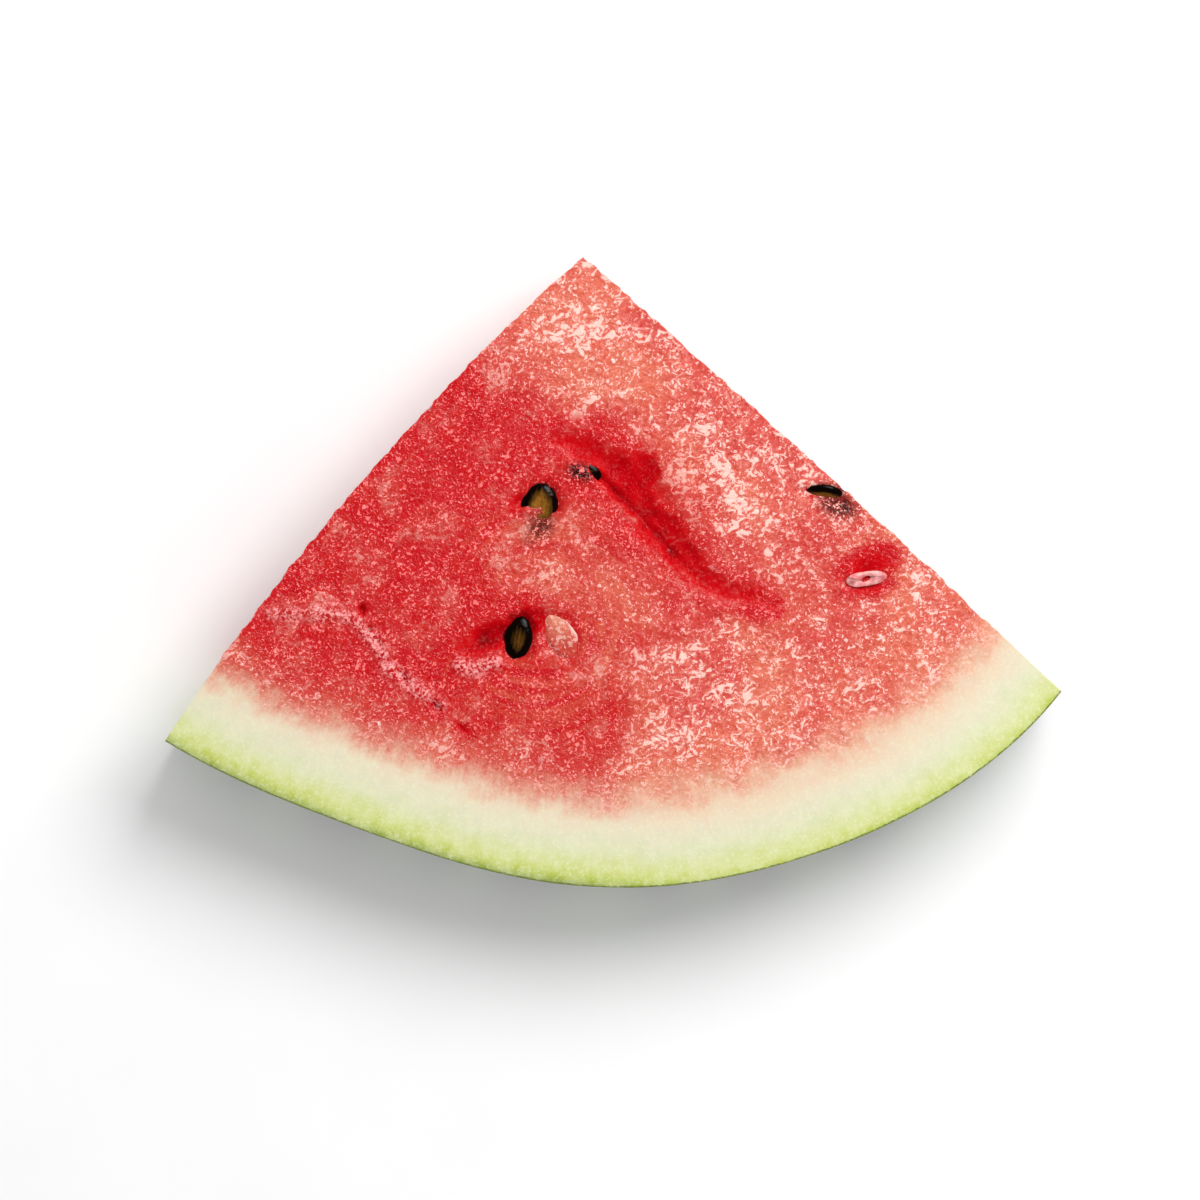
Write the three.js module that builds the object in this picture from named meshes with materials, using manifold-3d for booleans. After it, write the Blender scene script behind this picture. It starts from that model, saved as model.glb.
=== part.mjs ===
// Watermelon wedge: a quarter of a round cross-slice, lying on one cut face, with its seeds.
// Millimetres, +Z up. The work is laid out from the pointed end, which is the melon's own axis:
// the flesh spreads towards -Y, and a heading is an angle in degrees from +X, as on a plan.
// The finished part is moved so that the middle of its base is the origin.
import * as THREE from 'three';
import { mergeVertices, toCreasedNormals } from 'three/addons/utils/BufferGeometryUtils.js';
import Module from 'manifold-3d';

const THICKNESS = 28;
const SEED_GAP = 0.3;

// The melon: nearly round across, a little longer than it is wide, widest inside the slice.
const MELON_RADIUS = 119.1;
const MELON_HALF_LENGTH = 135;
const WIDEST_HEIGHT = 19;
const MELON_LOBES = [
  { count: 4, height: 3.15, heading: -61.4 },
  { count: 7, height: 1.1, heading: -94.1 },
];
const MELON_SIDES = 168;
const MELON_RINGS = 48;
const SEED_FACETS = [18, 10];
const HOLLOW_FACETS = [18, 8];
const SPLIT_FACETS = [12, 30];

// The two straight knife cuts. A bow is how far the cut swings out at its middle.
const LEFT_CUT = { heading: -133.94, length: 119.9, bow: 3.9 };
const RIGHT_CUT = { heading: -45.37, length: 121.6, bow: 0.6 };
const CUT_OVERRUN = 12;
const CUT_POINTS = 24;

// The split in the upper face, from the buried seed towards the right. Each stop gives the
// middle of the split, how wide it gapes there and how deep it goes.
const SPLIT = [
  { x: -7.0, y: -34.4, width: 1.6, depth: 0.8 },
  { x: -2.2, y: -35.8, width: 4.0, depth: 1.8 },
  { x: 2.2, y: -40.6, width: 5.6, depth: 2.8 },
  { x: 6.9, y: -45.6, width: 5.0, depth: 3.0 },
  { x: 10.9, y: -50.4, width: 5.2, depth: 3.2 },
  { x: 15.0, y: -57.4, width: 4.4, depth: 2.6 },
  { x: 19.6, y: -63.6, width: 3.6, depth: 1.8 },
  { x: 25.4, y: -66.4, width: 3.6, depth: 1.3 },
  { x: 32.0, y: -69.2, width: 1.8, depth: 0.8 },
];

// Smooth shallow hollows in the upper face, where flesh came away around seeds and the split.
const HOLLOWS = [
  { x: 8.6, y: -42.6, length: 10, width: 6.2, depth: 1.6, heading: 100 },
  { x: -20.8, y: -70.0, length: 12, width: 5.4, depth: 1.3, heading: 24 },
  { x: -13.6, y: -67.6, length: 7, width: 4.6, depth: 1.2, heading: 10 },
  { x: -15.6, y: -44.2, length: 6, width: 4.4, depth: 1.0, heading: 60 },
  { x: 50.2, y: -60.0, length: 9, width: 4.2, depth: 1.2, heading: 12 },
  { x: 49.4, y: -65.6, length: 7, width: 2.8, depth: 0.8, heading: 8 },
  { x: -44.2, y: -66.0, length: 4.4, width: 2.2, depth: 0.9, heading: 100 },
  { x: -36.0, y: -80.0, length: 5.2, width: 1.8, depth: 0.7, heading: -55 },
];

const BLACK_SHELL = { color: 0x1c1410, roughness: 0.3, metalness: 0 };
const PALE_COAT = { color: 0xf0c9b4, roughness: 0.4, metalness: 0 };
const MATURE = { length: 8.8, width: 5.8, thickness: 2.6 };

// A seed is a flat oval with one pointed end. Its heading is where the point looks, its tilt
// lifts the point, its roll turns it about its own length, and 'below' sinks its middle under
// the face that it shows in.
const UPPER_FACE_SEEDS = [
  { name: 'seed_upper', x: -10.8, y: -46.7, below: 1.6, heading: -104, tilt: -9, roll: 0,
    length: 10, width: 6.8, thickness: 2.8, finish: BLACK_SHELL },
  { name: 'seed_beside_split', x: -3.0, y: -39.9, below: 1.5, heading: -17, tilt: 7, roll: 8,
    ...MATURE, finish: BLACK_SHELL },
  { name: 'seed_lower', x: -16.0, y: -70.8, below: 1.3, heading: 77, tilt: 4, roll: 0,
    length: 8.4, width: 5.5, thickness: 2.5, finish: BLACK_SHELL },
  { name: 'seed_pale', x: -8.1, y: -70.7, below: 0.9, heading: 112, tilt: 0, roll: 0,
    length: 9.2, width: 5.8, thickness: 2.2, finish: PALE_COAT },
  { name: 'seed_on_edge', x: 43.2, y: -46.0, below: 2.7, heading: -12, tilt: 0, roll: 84,
    ...MATURE, finish: BLACK_SHELL },
];
const CUT_FACE_SEEDS = [
  { name: 'seed_left_inner', cut: LEFT_CUT, along: 0.5, z: 18, below: 1.0, tilt: 24 },
  { name: 'seed_left_outer', cut: LEFT_CUT, along: 0.64, z: 8.5, below: 1.1, tilt: -32 },
  { name: 'seed_right_low', cut: RIGHT_CUT, along: 0.6, z: 9, below: 1.0, tilt: 18 },
];
const LOWER_FACE_SEEDS = [
  { name: 'seed_under_left', x: -31, y: -57, heading: -120 },
  { name: 'seed_under_middle', x: 4, y: -73, heading: 66 },
  { name: 'seed_under_right', x: 33, y: -55, heading: -40 },
];
const LOWER_SEED_HEIGHT = 1.5;

// The empty seed coat that the knife opened: a small pale cup standing on edge.
const COAT = { x: 49.8, y: -63.1, below: 0.5, heading: 5, length: 7.8, width: 5.4, thickness: 3.2 };
const COAT_HOLE = { length: 1.9, width: 1.5, depth: 2.2 };

const wasm = await Module();
wasm.setup();

const radians = THREE.MathUtils.degToRad;

function solidOf(geometry) {
  geometry.deleteAttribute('normal');
  geometry.deleteAttribute('uv');
  const joined = mergeVertices(geometry);
  return new wasm.Manifold(new wasm.Mesh({
    numProp: 3,
    vertProperties: new Float32Array(joined.attributes.position.array),
    triVerts: new Uint32Array(joined.index.array),
  }));
}

function meshOf(name, solid, finish) {
  const { vertProperties, triVerts } = solid.getMesh();
  const geometry = new THREE.BufferGeometry();
  geometry.setAttribute('position', new THREE.BufferAttribute(vertProperties, 3));
  geometry.setIndex(new THREE.BufferAttribute(triVerts, 1));
  const mesh = new THREE.Mesh(
    toCreasedNormals(geometry, radians(32)), new THREE.MeshStandardMaterial(finish));
  mesh.name = name;
  return mesh;
}

// Moves every point of a geometry in place.
function reshape(geometry, move) {
  const points = geometry.attributes.position;
  const point = new THREE.Vector3();
  for (let i = 0; i < points.count; i += 1) {
    move(point.fromBufferAttribute(points, i));
    points.setXYZ(i, point.x, point.y, point.z);
  }
  return geometry;
}

function direction(heading) {
  return new THREE.Vector2(Math.cos(radians(heading)), Math.sin(radians(heading)));
}

// How far the skin bulges out, or falls short, of a true circle in one direction.
function lobed(angle) {
  return MELON_LOBES.reduce(
    (sum, lobe) => sum + lobe.height * Math.cos(lobe.count * (angle - radians(lobe.heading))), 0);
}

function wholeMelon() {
  const ball = new THREE.SphereGeometry(1, MELON_SIDES, MELON_RINGS);
  ball.rotateX(Math.PI / 2);
  return solidOf(reshape(ball, (point) => {
    const radius = MELON_RADIUS + lobed(Math.atan2(point.y, point.x));
    point.set(
      point.x * radius, point.y * radius, point.z * MELON_HALF_LENGTH + WIDEST_HEIGHT);
  }));
}

// A knife cut on the plan: an even curve from the pointed end out to the skin.
function cutCurve({ heading, length, bow }) {
  const corner = direction(heading).multiplyScalar(length);
  const side = Math.sign(Math.cos(radians(heading)));
  const bend = direction(heading + side * 90).multiplyScalar(2 * bow);
  return new THREE.QuadraticBezierCurve(
    new THREE.Vector2(0, 0), corner.clone().multiplyScalar(0.5).add(bend), corner);
}

function slab() {
  const left = cutCurve(LEFT_CUT);
  const right = cutCurve(RIGHT_CUT);
  const overrun = (curve) => curve.v2.clone().add(curve.getTangent(1).multiplyScalar(CUT_OVERRUN));
  const outline = new THREE.Shape([
    ...left.getPoints(CUT_POINTS).slice(1),
    overrun(left),
    new THREE.Vector2(0, -MELON_RADIUS - 3 * CUT_OVERRUN),
    overrun(right),
    ...right.getPoints(CUT_POINTS).reverse(),
  ]);
  return solidOf(new THREE.ExtrudeGeometry(
    outline, { depth: THICKNESS, bevelEnabled: false, curveSegments: CUT_POINTS }));
}

function hollow({ x, y, length, width, depth, heading }) {
  const bowl = new THREE.SphereGeometry(1, ...HOLLOW_FACETS);
  bowl.scale(length / 2, width / 2, depth);
  bowl.rotateZ(radians(heading));
  bowl.translate(x, y, THICKNESS);
  return solidOf(bowl);
}

// One long hollow, bent along the split and as wide and deep as each stop says.
function splitHollow() {
  const spine = new THREE.SplineCurve(SPLIT.map(({ x, y }) => new THREE.Vector2(x, y)));
  const gape = new THREE.SplineCurve(
    SPLIT.map(({ width, depth }) => new THREE.Vector2(width / 2, depth)));
  return solidOf(reshape(new THREE.SphereGeometry(1, ...SPLIT_FACETS), (point) => {
    const along = Math.acos(THREE.MathUtils.clamp(point.y, -1, 1)) / Math.PI;
    const middle = spine.getPoint(along);
    const run = spine.getTangent(along);
    const ring = Math.hypot(point.x, point.z);
    const size = gape.getPoint(along).multiplyScalar(ring > 0 ? ring ** -0.5 : 0);
    const aside = point.x * size.x;
    point.set(
      middle.x - run.y * aside, middle.y + run.x * aside, THICKNESS + point.z * size.y);
  }));
}

// A seed, or with a gap the room that it takes in the flesh.
function seedBody({ length, width, thickness, place }, gap = 0) {
  const form = new THREE.SphereGeometry(0.5, ...SEED_FACETS);
  form.rotateZ(-Math.PI / 2);
  reshape(form, (point) => {
    const pointed = Math.max(0, 2 * point.x) ** 2;
    point.set(
      point.x * (length + 2 * gap),
      point.y * (width + 2 * gap) * (1 - 0.34 * pointed),
      point.z * (thickness + 2 * gap) * (1 - 0.2 * pointed));
  });
  return solidOf(form.applyMatrix4(place));
}

// The pocket's mouth is as wide as the seed, so the seed shows whole and isn't shut in.
function pocket(seed) {
  const { x, y, z } = seed.outward.clone().multiplyScalar(seed.below);
  const room = seedBody(seed, SEED_GAP);
  return room.add(room.translate([x, y, z]));
}

function placed(seed, position, outward, heading, roll = 0) {
  const turn = new THREE.Euler(radians(roll), -radians(seed.tilt ?? 0), radians(heading), 'ZYX');
  const place = new THREE.Matrix4().makeRotationFromEuler(turn).setPosition(position);
  return { ...MATURE, finish: BLACK_SHELL, ...seed, place, outward };
}

function onUpperFace(seed) {
  const position = new THREE.Vector3(seed.x, seed.y, THICKNESS - seed.below);
  return placed(seed, position, new THREE.Vector3(0, 0, 1), seed.heading, seed.roll);
}

function onLowerFace(seed) {
  const position = new THREE.Vector3(seed.x, seed.y, LOWER_SEED_HEIGHT);
  const sunk = { ...seed, below: LOWER_SEED_HEIGHT };
  return placed(sunk, position, new THREE.Vector3(0, 0, -1), seed.heading);
}

// Lies flat against an upright knife cut, its point towards the skin.
function onCutFace(seed) {
  const curve = cutCurve(seed.cut);
  const spot = curve.getPoint(seed.along);
  const run = curve.getTangent(seed.along);
  const side = Math.sign(run.x);
  const outward = new THREE.Vector3(-run.y * side, run.x * side, 0);
  const position = new THREE.Vector3(spot.x, spot.y, seed.z)
    .addScaledVector(outward, -seed.below);
  return placed(seed, position, outward, THREE.MathUtils.radToDeg(run.angle()), 90);
}

const melonSlice = wholeMelon().intersect(slab());
const seeds = [
  ...UPPER_FACE_SEEDS.map(onUpperFace),
  ...CUT_FACE_SEEDS.map(onCutFace),
  ...LOWER_FACE_SEEDS.map(onLowerFace),
];
const coatSeed = onUpperFace({ ...COAT, tilt: 0, roll: 90 });
const coatHole = hollow({ ...COAT, ...COAT_HOLE });
const aboveSlice = solidOf(
  new THREE.BoxGeometry(2 * COAT.length, 2 * COAT.length, COAT.length)
    .translate(COAT.x, COAT.y, THICKNESS + COAT.length / 2));

const flesh = [
  splitHollow(),
  ...HOLLOWS.map(hollow),
  ...[...seeds, coatSeed].map(pocket),
].reduce((left, taken) => left.subtract(taken), melonSlice);

const group = new THREE.Group();
group.name = 'watermelon_wedge';
group.add(meshOf('wedge', flesh, { color: 0xd8453f, roughness: 0.35, metalness: 0 }));
seeds.forEach((seed) => group.add(meshOf(seed.name, seedBody(seed), seed.finish)));
group.add(meshOf(
  'seed_coat', seedBody(coatSeed).subtract(aboveSlice).subtract(coatHole), PALE_COAT));

const middle = new THREE.Box3().setFromObject(group.getObjectByName('wedge'))
  .getCenter(new THREE.Vector3());
group.children.forEach((mesh) => mesh.geometry.translate(-middle.x, -middle.y, 0));

export default group;
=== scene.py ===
"""A quarter of a round slice of ripe watermelon, with its seeds, lying on a white table.

Lengths are in millimetres and angles in degrees until the last step of a mesh. Places are
measured from the slice's pointed end, which is the melon's own axis.
"""

import math

import bmesh
import bpy
from mathutils import Euler, Matrix, Vector, noise


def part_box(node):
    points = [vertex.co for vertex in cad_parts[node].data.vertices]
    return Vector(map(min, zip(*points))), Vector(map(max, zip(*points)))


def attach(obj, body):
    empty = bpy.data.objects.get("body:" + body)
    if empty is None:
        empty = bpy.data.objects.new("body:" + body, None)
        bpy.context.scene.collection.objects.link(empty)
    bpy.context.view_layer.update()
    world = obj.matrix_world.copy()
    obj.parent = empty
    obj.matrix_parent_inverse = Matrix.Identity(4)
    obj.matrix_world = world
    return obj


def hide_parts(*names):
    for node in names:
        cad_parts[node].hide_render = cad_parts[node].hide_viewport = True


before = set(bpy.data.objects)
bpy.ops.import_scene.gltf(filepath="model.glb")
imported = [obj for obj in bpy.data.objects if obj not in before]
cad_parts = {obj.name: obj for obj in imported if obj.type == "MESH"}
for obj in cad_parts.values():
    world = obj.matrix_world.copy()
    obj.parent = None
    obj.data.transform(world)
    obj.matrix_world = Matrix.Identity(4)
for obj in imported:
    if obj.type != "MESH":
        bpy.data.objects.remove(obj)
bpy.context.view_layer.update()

MM = 0.001
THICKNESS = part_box("wedge")[1].z / MM
POINTED_END = max((v.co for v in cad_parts["wedge"].data.vertices), key=lambda co: co.y)
ORIGIN = Vector((POINTED_END.x, POINTED_END.y, 0.0))

# The melon, its skin's slow lobes and the two slightly bowed knife cuts, as the solid model has
# them.
MELON_RADIUS = 119.1
MELON_HALF_LENGTH = 135.0
WIDEST_HEIGHT = 19.0
MELON_LOBES = [(4, 3.15, -61.4), (7, 1.1, -94.1)]
LEFT_CUT = {"heading": -133.94, "length": 119.9, "bow": 3.9}
RIGHT_CUT = {"heading": -45.37, "length": 121.6, "bow": 0.6}

# From one dark stripe of the skin to the next.
STRIPE_PITCH = 21.0

# Squares along each knife cut, and layers through the slice.
CUT_CELLS = 190
LAYERS = 32
# A part of the way this small counts as lying on a face of the block.
ON_FACE = 1e-5
# Faces that meet at more than this angle meet in a crisp edge.
CRISP = math.radians(60)

# The split in the upper face: x, y, width and depth at each stop.
SPLIT = [
    (-7.5, -33.8, 2.4, 0.4), (-3.6, -34.8, 4.2, 0.8), (1.0, -37.6, 6.0, 1.1),
    (5.0, -41.6, 8.2, 1.4), (8.4, -46.0, 8.8, 1.5), (11.2, -50.4, 7.4, 1.5),
    (14.8, -55.8, 7.0, 1.4), (18.2, -60.2, 5.8, 1.1), (22.6, -64.2, 4.4, 0.8),
    (28.6, -65.6, 3.4, 0.5), (32.0, -67.2, 2.0, 0.3),
]
# The narrow fold in its floor: x, y, width and depth again.
FOLD = [
    (-0.6, -39.6, 0.6, 0.6), (1.2, -41.8, 1.6, 1.3), (3.4, -44.2, 1.6, 1.1),
    (7.6, -48.6, 1.2, 0.6), (12.0, -54.4, 1.4, 0.7), (16.4, -59.6, 1.0, 0.4),
    (20.4, -63.2, 0.5, 0.2),
]
# Smooth hollows where flesh came away: x, y, length, width, depth and heading.
HOLLOWS = [
    (9.6, -40.8, 8.6, 6.2, 0.9, 100), (-21.4, -70.2, 12.5, 5.2, 1.2, 24),
    (-13.4, -67.4, 7.0, 5.0, 0.9, 10), (-15.0, -45.4, 5.0, 3.4, 0.3, 60),
    (50.6, -60.5, 8.4, 4.2, 0.5, 16), (49.6, -65.0, 7.0, 2.4, 0.3, 8),
    (-45.0, -63.8, 2.4, 1.6, 1.4, 100), (-43.8, -67.4, 1.8, 1.4, 1.2, 80),
    (-42.3, -70.2, 3.0, 1.1, 1.0, -60), (-37.8, -77.0, 4.4, 1.6, 1.2, -50),
    (-32.2, -82.4, 3.8, 1.8, 1.3, -50), (-27.4, -87.0, 3.0, 1.3, 0.9, -40),
]
# Pale frosty ridges, where the flesh tore instead of being cut: points along each.
RIDGES = [
    [(-62.0, -63.4), (-50.4, -64.2), (-46.2, -65.8), (-44.0, -68.6), (-41.4, -72.4)],
    [(-41.2, -74.8), (-38.8, -76.2), (-35.2, -79.6), (-31.4, -82.2)],
    [(-27.4, -75.0), (-24.2, -76.2), (-20.6, -74.8)],
]

# Patches that are more coral, or with a minus richer red: x, y, reach and change.
CORAL_PATCHES = [
    (-8, -57, 9, 0.45), (3, -63, 8, 0.35), (51, -60, 6, -0.6), (41, -59, 9, -0.4),
    (12, -69, 6, -0.5), (31, -69, 8, -0.4), (-3, -86, 6, -0.3), (-44, -58, 9, 0.12),
    (0, -33, 6, -0.5),
]
# Patches where more juice stands on the flesh, and more of its painted glint, or with a minus
# less.
JUICE_GLINT_PATCHES = [
    (22, -44, 9, 0.06), (0, -15, 9, 0.05), (13, -84, 9, 0.06), (36, -46, 8, 0.03),
    (2, -62, 9, -0.10), (26, -57, 6, -0.05), (44, -72, 10, -0.06), (-12, -57, 7, 0.05),
]
# The middle of the fibres that curl round the lower two seeds.
SWIRL = {"x": -11.0, "y": -68.0}

BLACK, PALE, HOLLOW_COAT = "black", "pale", "hollow coat"
# A ripe seed. Worn is how thin and ochre its shell is, seat how well the flesh clears it, and
# uneven how dented it is. On the opened coat a worn of 1 makes it flushed pink all over.
MATURE = {"length": 8.8, "width": 5.8, "thickness": 2.6, "worn": 0.6,
          "seat": 1.0, "uneven": 0.06}
UP, DOWN = Vector((0, 0, 1)), Vector((0, 0, -1))

# The opened coat: how far it stands over the flesh, its wall, and its hole, which is squeezed
# narrow. The floor of the hole is marked as lying far outside the seed, and is red for that.
COAT_PROUD, COAT_WALL = 0.15, 0.85
HOLE_SQUEEZE, HOLE_DEPTH = 0.34, 1.6
IN_HOLE = (9, 9, 9)

# The size of a burst cell of pulp, and how far in from the skin the rind's colours run.
CELL = 0.58
RIND_REACH = 24.0

# In metres: the lamps' shared place, half the table's width, the camera's place over the slice
# and the width that it takes in there. In degrees: the camera's turn.
LAMP_PLACE = (0.33, 0.37, 0.62)
TABLE_HALF = 2.0
CAMERA_OFF_CENTRE = (-0.0013, -0.0049)
CAMERA_ABOVE = 0.9
WIDTH_IN_VIEW = 0.225
CAMERA_TURN = -3.12


def smooth(low, high, value):
    """0 below low, 1 above high and an even curve between, also for low above high."""
    t = min(1.0, max(0.0, (value - low) / (high - low)))
    return t * t * (3 - 2 * t)


def skin_radius(heading):
    """How far the skin lies from the melon's axis, with its slow lobes."""
    return MELON_RADIUS + sum(
        height * math.cos(count * (heading - math.radians(turn)))
        for count, height, turn in MELON_LOBES)


def side_of(cut):
    """1 for the knife cut on the right and -1 for the one on the left."""
    return math.copysign(1.0, math.cos(math.radians(cut["heading"])))


def cut_heading(cut, ring):
    """Where a bowed knife cut lies, seen from the pointed end, at a part of its length."""
    swing = math.atan2(4 * cut["bow"] * (1 - ring), cut["length"])
    return math.radians(cut["heading"]) + side_of(cut) * swing


def on_slice(ring, across, height):
    """A place in the slice: ring runs from the pointed end to the skin, across from the left
    cut to the right, and height from the lower face to the upper."""
    left, right = cut_heading(LEFT_CUT, ring), cut_heading(RIGHT_CUT, ring)
    heading = left + (right - left) * across
    z = height * THICKNESS
    barrel = math.sqrt(1 - ((z - WIDEST_HEIGHT) / MELON_HALF_LENGTH) ** 2)
    reach = ring * skin_radius(heading) * (1 + (barrel - 1) * ring)
    return Vector((reach * math.cos(heading), reach * math.sin(heading), z)), heading


# The seeds. A seed is flat, with one pointed end: its heading is where the point looks, its tilt
# lifts the point, its roll turns it about its length, and below sinks its middle in its face.

def seated(name, middle, outward, below, heading, tilt=0.0, roll=0.0, look=BLACK, **size):
    """A seed's place in the slice, its size, and how it looks."""
    turn = Euler((math.radians(roll), -math.radians(tilt), math.radians(heading)))
    seed = {"name": name, "look": look, "outward": outward, "below": below, **MATURE, **size}
    seed["place"] = Matrix.Translation(middle) @ turn.to_matrix().to_4x4()
    seed["away"] = seed["place"].inverted()
    return seed


def on_top(name, x, y, below, heading, **rest):
    """A seed in the upper face."""
    return seated(name, Vector((x, y, THICKNESS - below)), UP, below, heading, **rest)


def underneath(name, x, y, heading, below=1.5):
    """A seed in the lower face."""
    return seated(name, Vector((x, y, below)), DOWN, below, heading)


def in_cut(name, cut, along, z, below, tilt):
    """A seed lying against an upright cut, its point towards the skin."""
    heading = math.radians(cut["heading"])
    side = side_of(cut)
    corner = Vector((math.cos(heading), math.sin(heading), 0)) * cut["length"]
    aside = Vector((-side * corner.y, side * corner.x, 0)).normalized()
    bend = corner / 2 + aside * 2 * cut["bow"]
    spot = bend * 2 * along * (1 - along) + corner * along ** 2
    run = (bend * (1 - 2 * along) + corner * along).normalized()
    outward = Vector((-side * run.y, side * run.x, 0))
    middle = spot + Vector((0, 0, z)) - outward * below
    return seated(name, middle, outward, below, math.degrees(math.atan2(run.y, run.x)),
                  tilt=tilt, roll=90.0)


SEEDS = [
    on_top("seed_upper", -10.8, -46.7, 1.6, -104, tilt=-9, length=10, width=7.2, thickness=2.8,
           worn=1.0),
    on_top("seed_beside_split", -3.0, -39.9, 1.5, -17, tilt=7, roll=8),
    on_top("seed_lower", -16.0, -70.8, 1.3, 77, tilt=4, length=8.6, width=5.5, thickness=2.5,
           worn=0.5),
    on_top("seed_pale", -8.1, -70.7, 0.9, 112, look=PALE, worn=0.0, length=9.4, width=6.0,
           thickness=2.2, seat=0.5, uneven=0.16),
    on_top("seed_on_edge", 43.0, -46.8, 2.4, -10, roll=62, worn=1.5),
    on_top("seed_coat", 49.8, -63.1, 0.5, 5, roll=90, look=HOLLOW_COAT, worn=1.0,
           length=7.8, width=5.4, thickness=3.2),
    in_cut("seed_left_inner", LEFT_CUT, 0.5, 18, 1.0, 24),
    in_cut("seed_left_outer", LEFT_CUT, 0.64, 8.5, 1.1, -32),
    in_cut("seed_right_low", RIGHT_CUT, 0.6, 9, 1.0, 18),
    underneath("seed_under_left", -31, -57, -120),
    underneath("seed_under_middle", 4, -73, 66),
    underneath("seed_under_right", 33, -55, -40),
]
# Where the flesh still covers a seed: from this part of its length on, to its point.
COVERED = {"seed_upper": 0.06, "seed_beside_split": -2.0, "seed_on_edge": 0.4}
# Seeds that show dark through the flesh: x, y, length, width, heading and how dark.
SHADOWS = [
    (-10.6, -49.6, 7.5, 6.0, -104, 0.8), (-13.0, -52.4, 5.0, 4.0, -104, 0.3),
    (-2.6, -40.2, 6.6, 4.2, -14, 1.0), (45.2, -49.2, 9.6, 5.2, -20, 0.9),
]


def oval(x, y, centre_x, centre_y, length, width, heading):
    """How far out a place lies in a turned oval: 0 in its middle and 1 at its rim."""
    turn = math.radians(heading)
    dx, dy = x - centre_x, y - centre_y
    along = (dx * math.cos(turn) + dy * math.sin(turn)) / (length / 2)
    aside = (dy * math.cos(turn) - dx * math.sin(turn)) / (width / 2)
    return math.hypot(along, aside)


def along_line(x, y, start, end):
    """(distance from a straight run, how far along it) for a place on the plan."""
    dx, dy = end[0] - start[0], end[1] - start[1]
    part = ((x - start[0]) * dx + (y - start[1]) * dy) / (dx * dx + dy * dy)
    part = min(1.0, max(0.0, part))
    return math.hypot(x - start[0] - part * dx, y - start[1] - part * dy), part


def split_at(x, y, stops, ragged):
    """(nearness, depth) of a split: nearness is 1 on its middle and 0 at its lips."""
    best = (-9.0, 0.0)
    for start, end in zip(stops, stops[1:]):
        gap, part = along_line(x, y, start, end)
        half_width = (start[2] + (end[2] - start[2]) * part) / 2
        nearness = 1 - gap / half_width + ragged
        if nearness > best[0]:
            best = (nearness, start[3] + (end[3] - start[3]) * part)
    return best


def upper_face(place, swells):
    """(height, torn_and_shaded, frost, halo) where the knife and the seeds have left the upper
    face. Torn_and_shaded is how raw the flesh is there, with painted shade that grows with the
    depth of the split, its fold and the hollows. Halo is how near it is to a tear."""
    x, y = place.x, place.y
    ragged = 0.30 * noise.noise(place / 1.9) + 0.35 * noise.noise(place / 4.6)
    nearness, depth = split_at(x, y, SPLIT, ragged)
    height = swells * (1 - 0.6 * smooth(-0.2, 0.5, nearness))
    height -= depth * smooth(-0.5, 1.0, nearness)
    folded, fold_depth = split_at(x, y, FOLD, ragged)
    height -= fold_depth * smooth(-0.9, 1.0, folded)
    # Painted shade: the deeper the split, its fold and each hollow, the darker their crimson.
    torn_and_shaded = (0.5 + 0.38 * depth) * smooth(-1.0, 0.8, nearness)
    torn_and_shaded += 0.45 * fold_depth * smooth(-0.3, 1.0, folded)
    halo = smooth(-3.0, -0.2, nearness)
    for hx, hy, length, width, deep, heading in HOLLOWS:
        out = oval(x, y, hx, hy, length, width, heading) + ragged * 0.6
        halo = max(halo, smooth(2.4, 1.0, out))
        if out < 1.8:
            dip = smooth(1.25, 0.2, out)
            height = height * (1 - 0.6 * dip) - deep * dip
            torn_and_shaded = max(torn_and_shaded, (0.6 + 0.6 * deep) * smooth(1.8, 0.2, out))
    frost = 0.0
    for ridge in RIDGES:
        for start, end in zip(ridge, ridge[1:]):
            gap, _ = along_line(x, y, start, end)
            if gap < 4:
                frost = max(frost, math.exp(-((gap + 1.6 * ragged) / 1.2) ** 2))
    return height + 0.45 * frost, torn_and_shaded, frost, halo


def seat_of(seed, place):
    """(sunk, ring) beside a seed: how far the flesh drops round it, and the colour of its raw rim.
    """
    if (place - seed["place"].translation).length > seed["length"]:
        return 0.0, 0.0
    own = seed["away"] @ (place - seed["outward"] * seed["below"])
    across = Vector((2 * own.x / seed["length"], 2 * own.y / seed["width"],
                     2 * own.z / seed["thickness"])).length
    covered = COVERED.get(seed["name"], 1.0)
    ragged = 0.3 * noise.noise(place / 1.4)
    bare = 1 - smooth(covered - 0.06, covered + 0.1, own.x / seed["length"] + ragged)
    sunk = seed["seat"] * min(seed["below"], 1.1) * smooth(1.3, 0.95, across + ragged) * bare
    cover = 0.4 * smooth(1.3, 0.7, across) * (1 - bare)
    return sunk - cover, seed["seat"] * smooth(1.45, 1.0, across + ragged) * bare


def shadow_at(x, y):
    """How dark a seed under the surface makes the flesh."""
    return max(
        dark * smooth(1.25, 0.3, oval(x, y, *where)) for *where, dark in SHADOWS)


def patches_at(x, y, patches):
    """The change that a list of soft round patches makes at a place."""
    return sum(change * math.exp(-((x - cx) ** 2 + (y - cy) ** 2) / reach ** 2)
               for cx, cy, reach, change in patches)


def coral_at(x, y):
    """How pale and coral the flesh is: rich red on the left, paler to the right and the point."""
    edge = 5.0 - 0.95 * max(0.0, y + 40)
    coral = smooth(edge - 11, edge + 11, x) + patches_at(x, y, CORAL_PATCHES)
    return min(1.0, max(0.0, coral))


def coral_in(place, height, depth):
    """Coral anywhere in the slice. It leans, so that no upright cut has a straight border."""
    lower = THICKNESS - place.z
    coral = coral_at(place.x + 0.7 * lower, place.y + 0.3 * lower)
    return coral + 1.1 * smooth(1.0, 0.6, height) * noise.noise(place / 12) \
        + 0.4 * smooth(30, 19, depth)


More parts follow.
